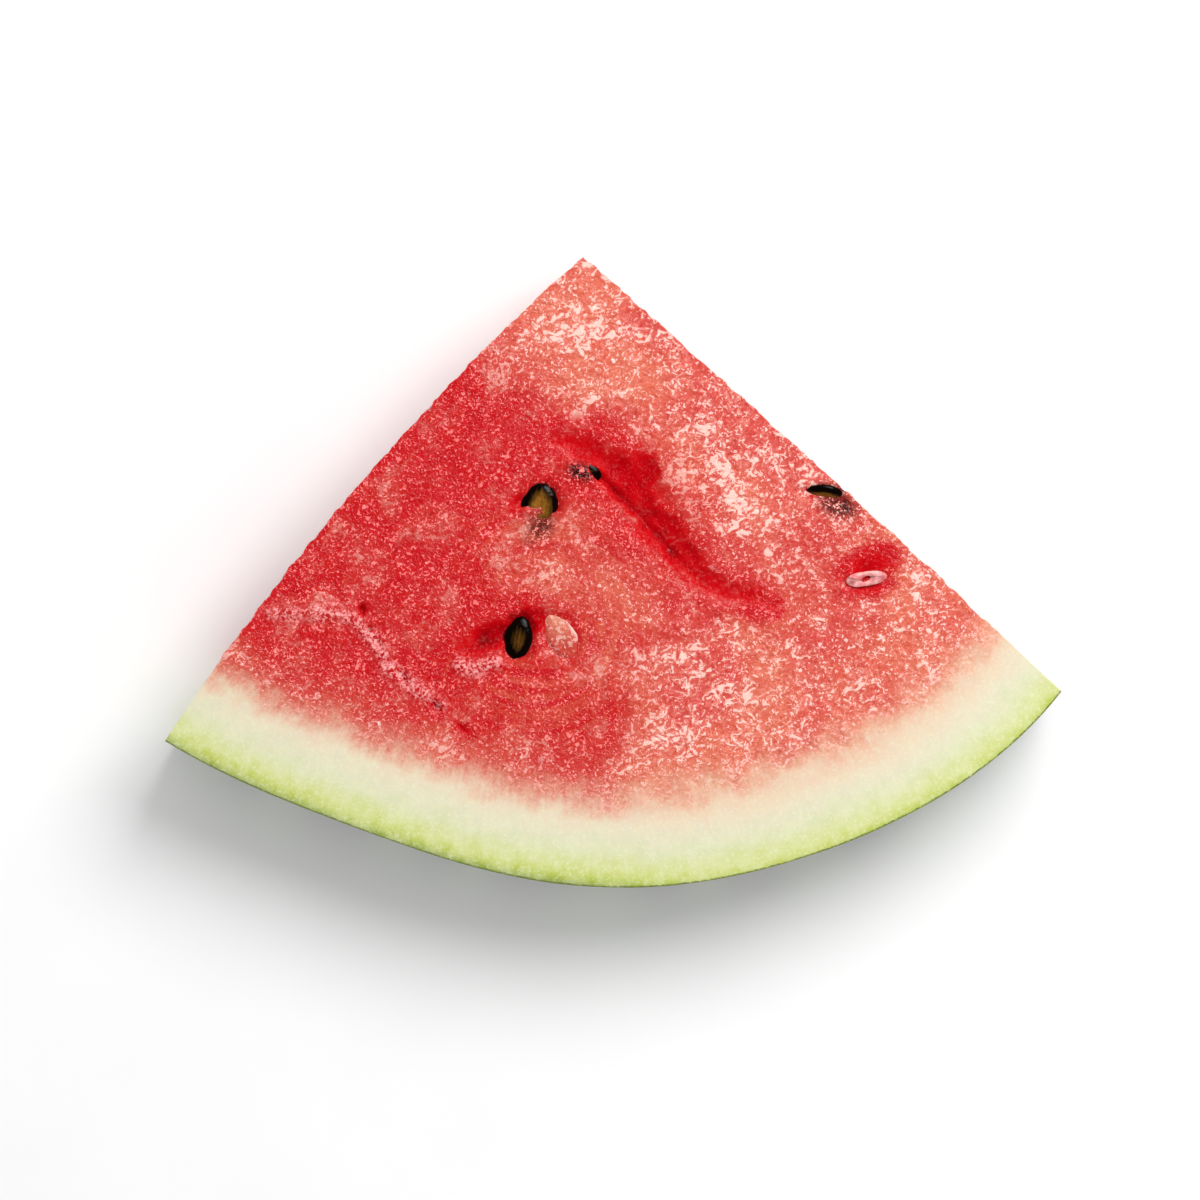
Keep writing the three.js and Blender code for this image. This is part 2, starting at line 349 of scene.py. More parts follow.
def swells_of(place, depth, coral):
    """(loose, swells): how loose the flesh is, from the rind in, and how it stands up."""
    loose = 0.06 + 0.94 * smooth(10, 20, depth)
    return loose, loose * (
        0.30 * noise.noise(place / 12) + (0.08 + 0.14 * coral) * noise.noise(place / 3.6)
        + 0.05 * noise.noise(place / 1.6))


def swirl_at(x, y):
    """(how far out, how far round, how strong) in the fibres that curl round the lower seeds."""
    dx, dy = x - SWIRL["x"], y - SWIRL["y"]
    out, turn = math.hypot(dx, dy), math.atan2(dy, -dx)
    strong = smooth(5, 9, out) * smooth(27, 17, out) * smooth(0.35, 1.1, abs(turn))
    return out - 1.6 * turn, 3.0 * turn, strong


def melon_block():
    """A cube cut into small squares, from which the slice is bent and carved."""
    block = bmesh.new()
    bmesh.ops.create_cube(block, size=1.0)
    bmesh.ops.translate(block, verts=block.verts, vec=(0.5, 0.5, 0.5))
    level = [e for e in block.edges if abs(e.verts[0].co.z - e.verts[1].co.z) < 0.5]
    bmesh.ops.subdivide_edges(block, edges=level, cuts=CUT_CELLS - 1, use_grid_fill=True)
    upright = [e for e in block.edges if abs(e.verts[0].co.z - e.verts[1].co.z) > 0.5]
    bmesh.ops.subdivide_edges(block, edges=upright, cuts=LAYERS - 1, use_grid_fill=True)
    return block


def carve_wedge():
    """The slice: the block bent to its plan, with what cutting and tearing left on each face.
    The marks are for the materials: how deep under the skin a place lies; how raw it is, with
    painted shade where the tears lie deep; how frosty, shadowed and coral it is; and how much
    juice stands there, with its painted glint. Grown is its place round the melon and out from
    its axis."""
    block = melon_block()
    layers = block.verts.layers
    marks = {name: layers.float.new(name)
             for name in ("under_skin", "torn_and_shaded", "frost", "shadow", "coral", "juice_glint")}
    grown = layers.float_vector.new("grown")
    swirl = layers.float_vector.new("swirl")
    for vert in block.verts:
        u, v, w = vert.co
        ring = max(u, v)
        across = 0.5 if ring < ON_FACE else v / (2 * u) if u >= v else 1 - u / (2 * v)
        place, heading = on_slice(ring, across, w)
        depth = (1 - ring) * skin_radius(heading)
        vert[marks["under_skin"]] = depth
        vert[grown] = (heading * MELON_RADIUS, MELON_RADIUS - depth, place.z)
        coral = coral_in(place, w, depth)
        vert[marks["juice_glint"]] = patches_at(place.x, place.y, JUICE_GLINT_PATCHES)
        vert[swirl] = swirl_at(place.x, place.y)
        loose, swells = swells_of(place, depth, coral)
        moved = place.copy()
        torn_and_shaded = frost = shadow = 0.0
        on_upper, on_lower = w > 1 - ON_FACE, w < ON_FACE
        if on_upper:
            height, torn_and_shaded, frost, halo = upper_face(place, swells)
            coral = max(0.0, coral - 0.75 * halo)
            moved += UP * height
            shadow = shadow_at(place.x, place.y)
        if on_lower:
            moved += UP * max(0.0, 0.15 + 0.8 * swells)
        for on_cut, cut in ((v < ON_FACE, LEFT_CUT), (u < ON_FACE, RIGHT_CUT)):
            if on_cut and ring > ON_FACE:
                side = side_of(cut)
                out = Vector((-side * math.sin(heading), side * math.cos(heading), 0))
                frayed = 0.45 * smooth(0.90, 1.0, w) * noise.noise(place / 1.5)
                moved += out * (0.6 * swells + frayed * loose)
        if ring > 1 - ON_FACE:
            out = Vector((math.cos(heading), math.sin(heading), 0))
            moved += out * (0.12 * noise.noise(place / 16) - 0.1)
        for seed in SEEDS:
            looks_up = seed["outward"].z
            facing = (on_upper and looks_up > 0.5) or (on_lower and looks_up < -0.5) or (
                min(u, v) < ON_FACE and abs(looks_up) < 0.5 and not (on_upper or on_lower))
            if facing:
                sunk, rim = seat_of(seed, place)
                moved -= seed["outward"] * sunk
                torn_and_shaded = max(torn_and_shaded, 0.55 * rim)
        moved.z = max(0.0, moved.z)
        vert[marks["coral"]] = coral
        vert[marks["torn_and_shaded"]] = torn_and_shaded
        vert[marks["frost"]] = frost
        vert[marks["shadow"]] = shadow
        vert.co = moved * MM + ORIGIN
    for face in block.faces:
        face.smooth = True
        on_skin = all(vert[marks["under_skin"]] < ON_FACE for vert in face.verts)
        face.material_index = 1 if on_skin else 0
    for line in block.edges:
        line.smooth = line.calc_face_angle(0.0) < CRISP
    return block


def shape_seed(seed):
    """A flat egg shape with a blunt point, two small shoulders beside it and a fuller rim."""
    shape = bmesh.new()
    bmesh.ops.create_uvsphere(shape, u_segments=36, v_segments=26, radius=1.0)
    bmesh.ops.rotate(shape, verts=shape.verts, matrix=Matrix.Rotation(math.pi / 2, 3, "Y"))
    own = shape.verts.layers.float_vector.new("own")
    worn = shape.verts.layers.float.new("worn")
    half = Vector((seed["length"], seed["width"], seed["thickness"])) / 2
    for vert in shape.verts:
        x, y, z = vert.co
        vert[own] = vert.co
        vert[worn] = seed["worn"]
        pointed = max(0.0, x) ** 2
        shoulder = 0.10 * math.exp(-((x - 0.86) / 0.07) ** 2)
        fuller = 1 - 0.16 * smooth(0.85, 0.1, math.hypot(x, y))
        dent = seed["uneven"] * noise.noise(vert.co * 1.7 + seed["place"].translation)
        vert.co = Vector((
            x * half.x,
            y * half.y * (1 - 0.34 * pointed + shoulder) * (1 + dent),
            z * half.z * (1 - 0.2 * pointed) * fuller * (1 + dent)))
    return shape


def shape_coat(seed):
    """The pale coat cut open: a cup standing on edge, level with the flesh, with a small hole."""
    shape = shape_seed(seed)
    own = shape.verts.layers.float_vector["own"]
    bmesh.ops.transform(shape, matrix=seed["place"], verts=shape.verts)
    level = Vector((0, 0, THICKNESS + COAT_PROUD))
    cut = bmesh.ops.bisect_plane(
        shape, geom=shape.verts[:] + shape.edges[:] + shape.faces[:],
        plane_co=level, plane_no=UP, clear_outer=True)
    rim = [part for part in cut["geom_cut"] if isinstance(part, bmesh.types.BMEdge)]
    lid = bmesh.ops.contextual_create(shape, geom=rim)["faces"]
    bmesh.ops.inset_region(shape, faces=lid, thickness=COAT_WALL)
    hole = lid[0]
    middle = hole.calc_center_median()
    squeeze = Matrix.Diagonal((HOLE_SQUEEZE, 1.0, 1.0))
    bmesh.ops.transform(shape, matrix=Matrix.Translation(middle) @ squeeze.to_4x4()
                        @ Matrix.Translation(-middle), verts=hole.verts)
    sunk = bmesh.ops.extrude_discrete_faces(shape, faces=[hole])["faces"][0]
    bmesh.ops.translate(shape, verts=sunk.verts, vec=(0, 0, -HOLE_DEPTH))
    for vert in sunk.verts:
        vert[own] = IN_HOLE
    bmesh.ops.transform(shape, matrix=seed["away"], verts=shape.verts)
    return shape


# Materials. Patterns are drawn in millimetres on Object coordinates or on the piece's own marks.

def colour(code):
    """An sRGB hex value as linear light."""
    parts = [int(code[i:i + 2], 16) / 255 for i in (1, 3, 5)]
    return [p / 12.92 if p < 0.04045 else ((p + 0.055) / 1.055) ** 2.4 for p in parts] + [1.0]


def add(tree, kind, inputs=None, stops=None, **settings):
    """A shader node with its settings, its ramp's stops and its inputs, linked or set."""
    made = tree.nodes.new(kind)
    for name, value in settings.items():
        setattr(made, name, value)
    for socket, value in (inputs or {}).items():
        if isinstance(value, bpy.types.Node):
            value = next(out for out in value.outputs if out.enabled)
        if isinstance(value, bpy.types.NodeSocket):
            tree.links.new(value, made.inputs[socket])
        else:
            made.inputs[socket].default_value = value
    for i, (place, code) in enumerate(stops or []):
        ramp = made.color_ramp.elements
        stop = ramp[i] if i < 2 else ramp.new(place)
        stop.position, stop.color = place, colour(code)
    return made


def new_material(name, **constants):
    """A material with its shader's constants set, and its tree and shader to work on."""
    material = bpy.data.materials.new(name)
    material.use_nodes = True
    shader = material.node_tree.nodes["Principled BSDF"]
    for socket, value in constants.items():
        shader.inputs[socket.replace("_", " ")].default_value = value
    return material, material.node_tree, shader


def cut_melon_flesh():
    """Ripe watermelon cut with a knife: wet red pulp of big cells, shading through peach and
    cream into a firm yellow-green rind. Burst cells sparkle and juice glints in patches, and both
    are painted into its colour as pale specks and patches: painted highlights."""
    material, tree, shader = new_material(
        "cut_watermelon_flesh", Roughness=0.5, Specular_IOR_Level=0.0, Coat_IOR=1.45,
        Coat_Roughness=0.05, Subsurface_Weight=0.12, Subsurface_Radius=(1.0, 0.28, 0.2),
        Subsurface_Scale=0.0018)
    spot = add(tree, "ShaderNodeTexCoord").outputs["Object"]
    mm = add(tree, "ShaderNodeVectorMath", {0: spot, "Scale": 1000.0}, operation="SCALE")
    mark = {name: add(tree, "ShaderNodeAttribute", attribute_name=name).outputs["Fac"]
            for name in ("under_skin", "torn_and_shaded", "frost", "shadow", "coral", "juice_glint")}
    grown = add(tree, "ShaderNodeAttribute", attribute_name="grown").outputs["Vector"]
    swirl = add(tree, "ShaderNodeAttribute", attribute_name="swirl").outputs["Vector"]

    # Specks about half a millimetre across, mottles of 2.6 mm, clouds 7 mm across, and fibres
    # 1.2 mm wide, which run out from the melon's middle.
    specks = add(tree, "ShaderNodeTexNoise", {"Vector": mm, "Scale": 1 / CELL, "Detail": 1.5,
                                              "Distortion": 0.8})
    clouds = add(tree, "ShaderNodeTexNoise", {"Vector": mm, "Scale": 1 / 7, "Detail": 4.0})
    mottles = add(tree, "ShaderNodeTexNoise", {"Vector": mm, "Scale": 1 / 2.6, "Detail": 3.0})
    drawn_out = add(tree, "ShaderNodeMapping", {"Vector": grown, "Scale": (0.8, 0.11, 0.25)})
    fibres = add(tree, "ShaderNodeTexNoise", {"Vector": drawn_out, "Scale": 1.0, "Detail": 3.0})
    wander = add(tree, "ShaderNodeMath", {0: clouds, 1: 10.0, 2: -5.0}, operation="MULTIPLY_ADD")
    blotch = add(tree, "ShaderNodeMath", {0: mottles, 1: 6.0, 2: -3.0}, operation="MULTIPLY_ADD")
    stray = add(tree, "ShaderNodeMath", {0: fibres, 1: 4.0, 2: blotch}, operation="MULTIPLY_ADD")
    blurred = add(tree, "ShaderNodeMath", {0: wander, 1: stray}, operation="ADD")
    inward = add(tree, "ShaderNodeMapRange", {0: mark["under_skin"], 1: 3.0, 2: 16.0, 3: 0.1})
    depth = add(tree, "ShaderNodeMath", {0: blurred, 1: inward, 2: mark["under_skin"]},
                operation="MULTIPLY_ADD")

    # The rind, from the skin's dark line in to the cream. It is paler on the coral side.
    paler = add(tree, "ShaderNodeMath", {0: mark["coral"], 1: 0.055, 2: -0.05},
                operation="MULTIPLY_ADD")
    outer = add(tree, "ShaderNodeMath", {0: depth, 1: 1 / RIND_REACH, 2: paler},
                operation="MULTIPLY_ADD")
    rind = add(tree, "ShaderNodeValToRGB", {0: outer}, stops=[
        (0.0, "#86963e"), (0.035, "#a6b44a"), (0.075, "#b9c462"), (0.12, "#c5cd80"),
        (0.19, "#cad092"), (0.3, "#d0d2ac"), (0.42, "#d6d1b6"), (0.54, "#ddcdb4"),
        (0.72, "#e0b8a0"), (0.92, "#dc9074")])

    # Rich red and coral pulp, clouded, with paler orange fibres and smooth crimson tears, which
    # darken with their depth: painted shade in the folds and hollows.
    rich = add(tree, "ShaderNodeMix", {0: mottles, 6: colour("#b40a14"), 7: colour("#d02428")},
               data_type="RGBA")
    drifts = add(tree, "ShaderNodeTexNoise", {"Vector": mm, "Scale": 1 / 16, "Detail": 2.0})
    warmth = add(tree, "ShaderNodeMapRange", {0: drifts, 1: 0.4, 2: 0.6})
    pink = add(tree, "ShaderNodeMix", {0: mottles, 6: colour("#ca3c36"), 7: colour("#d8645a")},
               data_type="RGBA")
    orange = add(tree, "ShaderNodeMix", {0: mottles, 6: colour("#d45c48"), 7: colour("#de7e66")},
                 data_type="RGBA")
    pale = add(tree, "ShaderNodeMix", {0: warmth, 6: pink, 7: orange}, data_type="RGBA")
    mottled = add(tree, "ShaderNodeMath", {0: clouds, 1: 0.9, 2: mark["coral"]},
                  operation="MULTIPLY_ADD")
    turned = add(tree, "ShaderNodeMapRange", {0: mottled, 1: 0.45, 2: 1.4})
    pulp = add(tree, "ShaderNodeMix", {0: turned, 6: rich, 7: pale}, data_type="RGBA")
    thread = add(tree, "ShaderNodeMapRange", {0: fibres, 1: 0.6, 2: 0.78, 4: 0.3})
    threaded = add(tree, "ShaderNodeMix", {0: thread, 6: pulp, 7: colour("#d87448")},
                   data_type="RGBA")
    curl = add(tree, "ShaderNodeSeparateXYZ", {0: swirl})
    curled = add(tree, "ShaderNodeMapping", {"Vector": swirl, "Scale": (0.62, 0.3, 0.0)})
    curls = add(tree, "ShaderNodeTexNoise", {"Vector": curled, "Scale": 1.0, "Detail": 2.0})
    curl_line = add(tree, "ShaderNodeMapRange", {0: curls, 1: 0.42, 2: 0.66, 4: 0.22})
    curl_here = add(tree, "ShaderNodeMath", {0: curl_line, 1: curl.outputs["Z"]},
                    operation="MULTIPLY")
    swirled = add(tree, "ShaderNodeMix", {0: curl_here, 6: threaded, 7: colour("#dc8560")},
                  data_type="RGBA")
    dappled = add(tree, "ShaderNodeMath", {0: mottles, 1: 1.1, 2: mark["torn_and_shaded"]},
                  operation="MULTIPLY_ADD")
    tear = add(tree, "ShaderNodeMapRange", {0: dappled, 1: 0.72, 2: 1.4},
               interpolation_type="SMOOTHSTEP")
    # The crimson runs from the raw flesh's own deeper red to, at its darkest, painted shade in the
    # folds and hollows.
    deep = add(tree, "ShaderNodeMath", {0: dappled, 1: 0.45}, operation="MULTIPLY")
    crimson_and_depth_shade = add(tree, "ShaderNodeValToRGB", {0: deep}, stops=[
        (0.35, "#ca2224"), (0.55, "#c20a12"), (0.75, "#b2020c"), (0.95, "#7c0208")])
    flesh = add(tree, "ShaderNodeMix", {0: tear, 6: swirled, 7: crimson_and_depth_shade}, data_type="RGBA")

    # The pulp begins deeper in on the coral side. The rind has pale flecks, pores and cells.
    early = add(tree, "ShaderNodeMath", {0: mark["coral"], 1: -2.0, 2: depth},
                operation="MULTIPLY_ADD")
    ripe = add(tree, "ShaderNodeMapRange", {0: early, 1: 12.4, 2: 23.6},
               interpolation_type="SMOOTHSTEP")
    flecks = add(tree, "ShaderNodeMapRange", {0: fibres, 1: 0.5, 2: 0.7, 4: 0.12})
    streaked = add(tree, "ShaderNodeMix", {0: flecks, 6: rind, 7: colour("#e6e2c4")},
                   data_type="RGBA")
    pores = add(tree, "ShaderNodeMapRange", {0: mottles, 1: 0.35, 2: 0.65, 4: 0.3})
    flecked = add(tree, "ShaderNodeMix", {0: pores, 6: streaked, 7: colour("#dfe0bc")},
                  data_type="RGBA")
    cells = add(tree, "ShaderNodeMapRange", {0: specks, 1: 0.5, 2: 0.68, 4: 0.3})
    celled = add(tree, "ShaderNodeMix", {0: cells, 6: flecked, 7: colour("#e4e6ca")},
                 data_type="RGBA")
    body = add(tree, "ShaderNodeMix", {0: ripe, 6: celled, 7: flesh}, data_type="RGBA")

    # Burst pulp cells, gathered here and there, and small darker gaps between whole cells. The
    # pale specks are partly the cells' own paler pulp and partly painted sparkle highlights.
    whole = add(tree, "ShaderNodeMapRange", {0: tear, 1: 0.35, 2: 1.0, 3: 1.0, 4: 0.1})
    pulpy = add(tree, "ShaderNodeMath", {0: whole, 1: ripe}, operation="MULTIPLY")
    gap = add(tree, "ShaderNodeMapRange", {0: specks, 1: 0.47, 2: 0.36, 4: 0.5})
    gap_here = add(tree, "ShaderNodeMath", {0: gap, 1: pulpy}, operation="MULTIPLY")
    grained = add(tree, "ShaderNodeMix", {0: gap_here, 6: body, 7: colour("#dc9896")},
                  data_type="RGBA", blend_type="MULTIPLY")
    gathered = add(tree, "ShaderNodeMath", {0: mottles, 1: 0.3, 2: specks},
                   operation="MULTIPLY_ADD")
    speck = add(tree, "ShaderNodeMapRange", {0: gathered, 1: 0.768, 2: 0.798})
    speck_pulp = add(tree, "ShaderNodeMath", {0: speck, 1: pulpy}, operation="MULTIPLY")
    sparkle_cover = add(tree, "ShaderNodeMath", {0: speck_pulp, 1: 0.85}, operation="MULTIPLY")
    # Pink to near-white specks: painted sparkle highlights.
    burst_and_sparkle = add(tree, "ShaderNodeMix", {0: turned, 6: colour("#f47e7c"), 7: colour("#fed0c8")},
                data_type="RGBA")
    sparkle_specked = add(tree, "ShaderNodeMix", {0: sparkle_cover, 6: grained, 7: burst_and_sparkle},
                   data_type="RGBA")

    # Juice on the coral side lies in ragged patches of film 1 to 4 mm across, thick in places.
    # Their pale pink to white is painted highlight: the light's glint on the juice.
    slanted = add(tree, "ShaderNodeMapping", {"Vector": mm, "Rotation": (0, 0, -0.25),
                                              "Scale": (1 / 2.0, 1 / 1.7, 1 / 1.9)})
    film_glints = add(tree, "ShaderNodeTexNoise", {"Vector": slanted, "Scale": 1.0, "Detail": 5.0,
                                             "Roughness": 0.62, "Distortion": 1.3})
    stood = add(tree, "ShaderNodeMath", {0: film_glints, 1: mark["juice_glint"]}, operation="ADD")
    pooled_glints = add(tree, "ShaderNodeMath", {0: clouds, 1: 0.45, 2: stood}, operation="MULTIPLY_ADD")
    glint_patched = sparkle_specked
    for low, high, cover, tint in ((0.745, 0.76, 0.28, "#f09c8c"), (0.828, 0.838, 0.85, "#f9cfc3")):
        patch = add(tree, "ShaderNodeMapRange", {0: pooled_glints, 1: low, 2: high, 4: cover})
        patch_pulp = add(tree, "ShaderNodeMath", {0: patch, 1: pulpy}, operation="MULTIPLY")
        patch_here = add(tree, "ShaderNodeMath", {0: patch_pulp, 1: turned},
                         operation="MULTIPLY")
        glint_patched = add(tree, "ShaderNodeMix", {0: patch_here, 6: glint_patched, 7: colour(tint)},
                      data_type="RGBA")
    frosty = add(tree, "ShaderNodeMapRange", {0: gathered, 1: 0.58, 2: 0.74})
    frost_here = add(tree, "ShaderNodeMath", {0: mark["frost"], 1: frosty}, operation="MULTIPLY")
    frosted = add(tree, "ShaderNodeMix", {0: frost_here, 6: glint_patched, 7: colour("#eda09e")},
                  data_type="RGBA")

    # Seeds under the surface darken it, where specks of pulp don't cover them.
    bare = add(tree, "ShaderNodeMapRange", {0: gathered, 1: 0.78, 2: 0.66})
    dark = add(tree, "ShaderNodeMath", {0: mark["shadow"], 1: bare}, operation="MULTIPLY")
    shaded = add(tree, "ShaderNodeMix", {0: dark, 6: frosted, 7: colour("#24100c")},
                 data_type="RGBA")

    # A dark line of skin round the rind, a third of a millimetre thick and scuffed by the knife.
    scuffed = add(tree, "ShaderNodeMath", {0: specks, 1: -0.9, 2: mark["under_skin"]},
                  operation="MULTIPLY_ADD")
    skin = add(tree, "ShaderNodeMapRange", {0: scuffed, 1: -0.02, 2: -0.25, 4: 0.85})
    edged = add(tree, "ShaderNodeMix", {0: skin, 6: shaded, 7: colour("#56662a")},
                data_type="RGBA")
    tree.links.new(edged.outputs[2], shader.inputs["Base Color"])

    # The pulp itself is gently grained. The juice on it stands in sharper ripples, which glint.
    waves = add(tree, "ShaderNodeTexNoise", {"Vector": slanted, "Scale": 1.0, "Detail": 1.0,
                                             "Distortion": 0.6})
    coarse = add(tree, "ShaderNodeMath", {0: turned, 1: pulpy}, operation="MULTIPLY")
    for socket, grain_depth, wave_depth in (("Normal", 0.0001, 0.0003),
                                            ("Coat Normal", 0.0004, 0.0020)):
        grain = add(tree, "ShaderNodeBump", {"Height": specks, "Strength": ripe,
                                             "Distance": grain_depth})
        ripples = add(tree, "ShaderNodeBump", {"Height": waves, "Strength": coarse,
                                               "Distance": wave_depth, "Normal": grain})
        tree.links.new(ripples.outputs[0], shader.inputs[socket])
    wetness = add(tree, "ShaderNodeMapRange", {0: pulpy, 3: 0.12, 4: 1.0})
    tree.links.new(wetness.outputs[0], shader.inputs["Coat Weight"])
    return material


def waxy_melon_skin():
    """Striped melon skin: smooth, thin and waxy, so it has a soft even shine. Dark jagged
    stripes 8 to 15 mm wide run the melon's length over a mottled lighter green."""
    material, tree, shader = new_material(
        "waxy_melon_skin", Roughness=0.38, IOR=1.45, Coat_Weight=0.15, Coat_Roughness=0.2)
    grown = add(tree, "ShaderNodeAttribute", attribute_name="grown").outputs["Vector"]

    # The stripes swing over 22 mm and fray over 4.5 mm. The veins are 1.8 mm apart.
    drift = add(tree, "ShaderNodeMapping", {"Vector": grown, "Scale": (0.045, 0.0, 0.02)})
    drifting = add(tree, "ShaderNodeTexNoise", {"Vector": drift, "Scale": 1.0, "Detail": 1.0})
    jagged = add(tree, "ShaderNodeTexNoise", {"Vector": grown, "Scale": 0.22, "Detail": 5.0,
                                              "Roughness": 0.7})
    part = add(tree, "ShaderNodeSeparateXYZ", {0: grown})
    swung = add(tree, "ShaderNodeMath", {0: drifting, 1: 26.0, 2: part}, operation="MULTIPLY_ADD")
    frayed = add(tree, "ShaderNodeMath", {0: jagged, 1: 9.0, 2: swung}, operation="MULTIPLY_ADD")
    turn = add(tree, "ShaderNodeMath", {0: frayed, 1: math.tau / STRIPE_PITCH},
               operation="MULTIPLY")
    bands = add(tree, "ShaderNodeMath", {0: turn}, operation="SINE")
    veined = add(tree, "ShaderNodeMapping", {"Vector": grown, "Scale": (0.55, 0.55, 0.16)})
    veins = add(tree, "ShaderNodeTexNoise", {"Vector": veined, "Scale": 1.0, "Detail": 4.0,
                                             "Roughness": 0.65, "Distortion": 1.2})
    spread = add(tree, "ShaderNodeMath", {0: veins, 1: 1.6, 2: bands}, operation="MULTIPLY_ADD")
    stripes = add(tree, "ShaderNodeMapRange", {0: spread, 1: 0.72, 2: 1.0})
    mottle = add(tree, "ShaderNodeTexNoise", {"Vector": grown, "Scale": 0.9, "Detail": 4.0})
    light = add(tree, "ShaderNodeMix", {0: veins, 6: colour("#8fa35a"), 7: colour("#55743a")},
                data_type="RGBA")
    dark = add(tree, "ShaderNodeMix", {0: mottle, 6: colour("#16290f"), 7: colour("#2c481f")},
               data_type="RGBA")
    skin = add(tree, "ShaderNodeMix", {0: stripes, 6: light, 7: dark}, data_type="RGBA")
    tree.links.new(skin.outputs[2], shader.inputs["Base Color"])
    pores = add(tree, "ShaderNodeBump", {"Height": mottle, "Strength": 0.15, "Distance": 0.0003})
    tree.links.new(pores.outputs[0], shader.inputs["Normal"])
    return material


def black_seed_shell():
    """The hard shell of a ripe seed: smooth, black-brown, ochre where it is worn thin in the
    middle of each side, and glossy with juice."""
    material, tree, shader = new_material(
        "black_seed_shell", Roughness=0.4, Specular_IOR_Level=0.0, Coat_Weight=0.45,
        Coat_Roughness=0.06, Coat_IOR=1.35)
    own = add(tree, "ShaderNodeAttribute", attribute_name="own").outputs["Vector"]
    flat = add(tree, "ShaderNodeVectorMath", {0: own, 1: (0.85, 1.05, 0.0)}, operation="MULTIPLY")
    out = add(tree, "ShaderNodeVectorMath", {0: flat}, operation="LENGTH").outputs["Value"]
    thin = add(tree, "ShaderNodeAttribute", attribute_name="worn").outputs["Fac"]
    spot = add(tree, "ShaderNodeTexCoord").outputs["Object"]

    # Mottles 0.7 mm across, and streaks that run along the seed.
    mottle = add(tree, "ShaderNodeTexNoise", {"Vector": spot, "Scale": 1400.0, "Detail": 4.0})
    drawn_out = add(tree, "ShaderNodeMapping", {"Vector": own, "Scale": (1.2, 5.0, 2.0)})
    streaks = add(tree, "ShaderNodeTexNoise", {"Vector": drawn_out, "Scale": 1.0, "Detail": 3.0})
    inward = add(tree, "ShaderNodeMapRange", {0: out, 1: 0.95, 2: 0.1, 4: thin})
    patchy = add(tree, "ShaderNodeMath", {0: inward, 1: streaks}, operation="MULTIPLY")
    ochre = add(tree, "ShaderNodeMapRange", {0: patchy, 1: 0.14, 2: 0.42})
    brown = add(tree, "ShaderNodeMix", {0: mottle, 6: colour("#3a2008"), 7: colour("#b0742a")},
                data_type="RGBA")
    shell = add(tree, "ShaderNodeMix", {0: ochre, 6: colour("#0a0604"), 7: brown},
                data_type="RGBA")
    tree.links.new(shell.outputs[2], shader.inputs["Base Color"])
    pits = add(tree, "ShaderNodeBump", {"Height": mottle, "Strength": 0.5, "Distance": 0.0002})
    tree.links.new(pits.outputs[0], shader.inputs["Normal"])
    tree.links.new(pits.outputs[0], shader.inputs["Coat Normal"])
    return material


